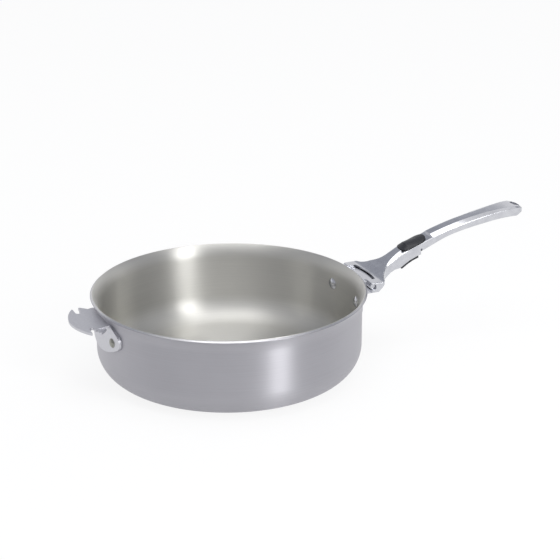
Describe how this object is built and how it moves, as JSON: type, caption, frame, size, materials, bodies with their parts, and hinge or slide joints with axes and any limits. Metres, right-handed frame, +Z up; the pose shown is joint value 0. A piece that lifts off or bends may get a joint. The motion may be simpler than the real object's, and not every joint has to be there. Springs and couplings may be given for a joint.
{
  "type": "saucier pan",
  "caption": "Round deep frying pan of bonded steel and aluminium sheet, with a clip-on cast long handle, its thumb catch and trigger, and a notched sheet helper handle.",
  "frame": {"origin": "centre of the flat base, on the surface that the pan stands on", "axes": "+Z up through the middle of the bowl, +X along the long handle, away from the pan"},
  "size_m": [0.4472, 0.248, 0.1189],
  "materials": {
    "satin_steel": "satin, turned grain",
    "core_aluminium": "cut edge",
    "matt_steel": "matt",
    "polished_steel": "polished stainless steel",
    "spring_steel": "plain",
    "black_plastic": "fine moulded matt"
  },
  "bodies": {
    "pan": {"outer_steel_ply": "satin_steel", "aluminium_core": "core_aluminium", "inner_steel_ply": "satin_steel", "helper_handle": "matt_steel", "helper_rivets": "polished_steel", "handle_bracket": "polished_steel", "bracket_rivets": "polished_steel", "bracket_pins": "polished_steel"},
    "handle": {"handle_casting": "polished_steel", "latch_housing": "polished_steel", "housing_screws": "polished_steel", "pivot_pin": "polished_steel", "slider_spring": "spring_steel", "latch_spring": "spring_steel"},
    "latch": {"latch_lever": "spring_steel", "trigger": "black_plastic", "trigger_rivet": "polished_steel"},
    "slider": {"thumb_slider": "black_plastic", "slider_retainer": "spring_steel", "slider_screw": "spring_steel"}
  },
  "joints": [
    {"name": "handle_release", "type": "slide", "parent": "pan", "child": "handle", "axis": [1, 0, 0], "range_m": [0, 0.008], "stiffness_N_per_m": 1500, "springref_m": -0.02},
    {"name": "trigger_squeeze", "type": "hinge", "parent": "handle", "child": "latch", "pos_m": [0.168, 0, 0.078], "axis": [0, -1, 0], "range_deg": [0, 11.5], "deforming": ["latch_spring"]},
    {"name": "slider_push", "type": "slide", "parent": "handle", "child": "slider", "axis": [0.9367, 0, 0.3502], "range_m": [0, 0.004], "stiffness_N_per_m": 400, "springref_m": -0.004, "deforming": ["slider_spring"]}
  ],
  "couplings": [
    {"joint": "trigger_squeeze", "follows": "handle_release", "rad_per_m": 25}
  ]
}
